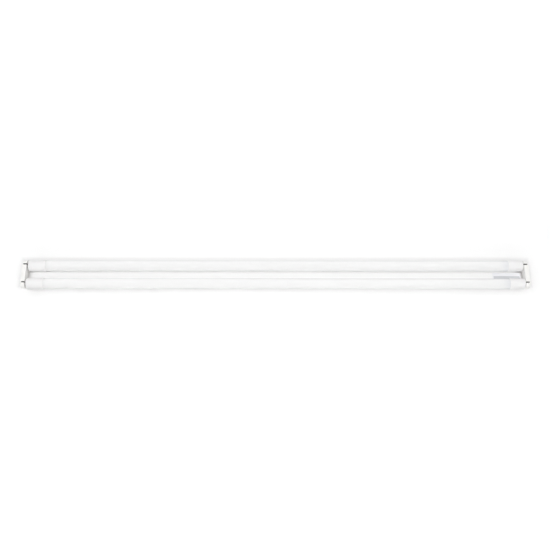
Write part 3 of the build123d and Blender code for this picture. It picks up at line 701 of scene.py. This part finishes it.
def spinePath(look):
    # across the spine from the rear foot over the ridge to the front foot: straight runs, with each
    # corner an arc of the bend radius, blended between the two radii that meet the runs
    low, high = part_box("spine_cover")
    half, ridge, top = high[1], look["ridge"] / 2, high[2]
    side = np.array([(half, low[2]), (half, top - look["shoulderDrop"]), (ridge, top)])
    corners = np.concatenate([side, side[::-1] * (-1, 1)])
    runs = np.diff(corners, axis=0)
    runs = runs / np.linalg.norm(runs, axis=1, keepdims=True)
    inward, outward = runs[:-1], runs[1:]
    turn = np.arccos((inward * outward).sum(axis=1, keepdims=True))
    reach = look["bend"] * np.tan(turn / 2)
    toMiddle = (outward - inward) / np.linalg.norm(outward - inward, axis=1, keepdims=True)
    middle = corners[1:-1] + toMiddle * look["bend"] / np.cos(turn / 2)
    first = (corners[1:-1] - inward * reach - middle)[:, None]
    last = (corners[1:-1] + outward * reach - middle)[:, None]
    share = np.linspace(0, 1, look["bendSteps"])[None, :, None]
    turn = turn[:, :, None]
    bends = (np.sin((1 - share) * turn) * first + np.sin(share * turn) * last) / np.sin(turn)
    bends = (bends + middle[:, None]).reshape(-1, 2)
    return np.concatenate([corners[:1], bends, corners[-1:]])


def bentSpine(look):
    # the path across, carried along X, then given the sheet's thickness inwards
    low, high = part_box("spine_cover")
    path = spinePath(look)
    x = np.linspace(low[0], high[0], look["stations"])[:, None]
    points = np.stack([x + 0 * path[:, 0], 0 * x + path[:, 0], 0 * x + path[:, 1]], axis=-1)
    faces = gridFaces(len(x), len(path))
    spine = gridPiece("spine_cover_bent", points, faces, "white_paint", "fixture", look["smoothAngle"],
                      ["spine_cover"])
    wall = spine.modifiers.new("sheet", "SOLIDIFY")
    wall.thickness = look["sheet"]
    wall.offset = -1


bentSpine(spineSheet)
print("spine made")


labelFilm = {
    "left": 0.5285, "right": 0.5965,            # along X
    "rear": 0.0078, "front": 0.0165,            # from the ridge's middle round the sheet
    "corner": 0.0022, "proud": 0.00006, "film": 0.0001,
    "rows": 60, "columns": 48, "smoothAngle": 35,
    "pale": (0.870, 0.875, 0.900), "band": (0.612, 0.620, 0.646), "roughness": (0.26, 0.36),
    "bandInset": 0.03, "bandFrom": 0.33, "bandTo": 0.72, "bandEdge": 0.012,     # shares of the label
    "grainScale": 1800, "grainDepth": 0.000004,
}


def labelFinish(look):
    # pale film with one plain band, placed by the label's own UV map
    material, tree, shader = newFinish("labelFilm", look["roughness"][0])
    place = addNode(tree, "UVMap", uv_map="label")
    split = addNode(tree, "SeparateXYZ")
    link(tree, place, "UV", split, "Vector")
    inset, edge = look["bandInset"], look["bandEdge"]
    masks = []
    for axis, low, high in (("X", inset, 1 - inset), ("Y", look["bandFrom"], look["bandTo"])):
        masks.append(fade(tree, split, axis, low, low + edge))
        masks.append(fade(tree, split, axis, high, high - edge))
    band = allOf(tree, masks)
    grain = addGrain(tree, look["grainScale"])
    link(tree, twoTone(tree, band, 0, look["pale"], look["band"]), "Result", shader, "Base Color")
    link(tree, rangeOf(tree, grain, "Height", *look["roughness"]), 0, shader, "Roughness")
    addRelief(tree, shader, grain, "Height", look["grainDepth"])
    return material


def ridgeLabel(look):
    # a rectangle with rounded corners laid on the spine path: at each station along X the label reaches
    # as far round the sheet as its corner arc allows, and every point stands a film's height off the paint
    path = spinePath(spineSheet)
    length = np.concatenate([[0], np.cumsum(np.linalg.norm(np.diff(path, axis=0), axis=1))])
    ways = np.gradient(path, length, axis=0)
    ways = ways / np.linalg.norm(ways, axis=1, keepdims=True)
    normals = np.stack([ways[:, 1], -ways[:, 0]], axis=-1)
    u = np.linspace(0, 1, look["rows"])[:, None]
    v = np.linspace(0, 1, look["columns"])[None, :]
    x = look["left"] + u * (look["right"] - look["left"])
    into = np.clip(1 - np.minimum(x - look["left"], look["right"] - x) / look["corner"], 0, 1)
    trim = look["corner"] * (1 - np.sqrt(1 - into ** 2))
    middle = length[-1] / 2
    start, end = middle - look["rear"] + trim, middle + look["front"] - trim
    along = start + v * (end - start)
    y, z, normalY, normalZ = (np.interp(along, length, line) for line in (*path.T, *normals.T))
    points = np.stack([x + 0 * v, y + look["proud"] * normalY, z + look["proud"] * normalZ], axis=-1)
    faces = gridFaces(look["rows"], look["columns"])
    piece = gridPiece("ridge_label", points, faces, "white_paint", "fixture", look["smoothAngle"])
    mesh = piece.data
    mesh.materials[0] = labelFinish(look)
    across = (along - middle + look["rear"]) / (look["rear"] + look["front"])
    flat = np.stack([u + 0 * v, across], axis=-1).reshape(-1, 2)
    corner = np.empty(len(mesh.loops), dtype=int)
    mesh.loops.foreach_get("vertex_index", corner)
    mesh.uv_layers.new(name="label").data.foreach_set("uv", flat[corner].ravel())
    film = piece.modifiers.new("film", "SOLIDIFY")
    film.thickness = look["film"]
    film.offset = 1


ridgeLabel(labelFilm)
print("label laid")
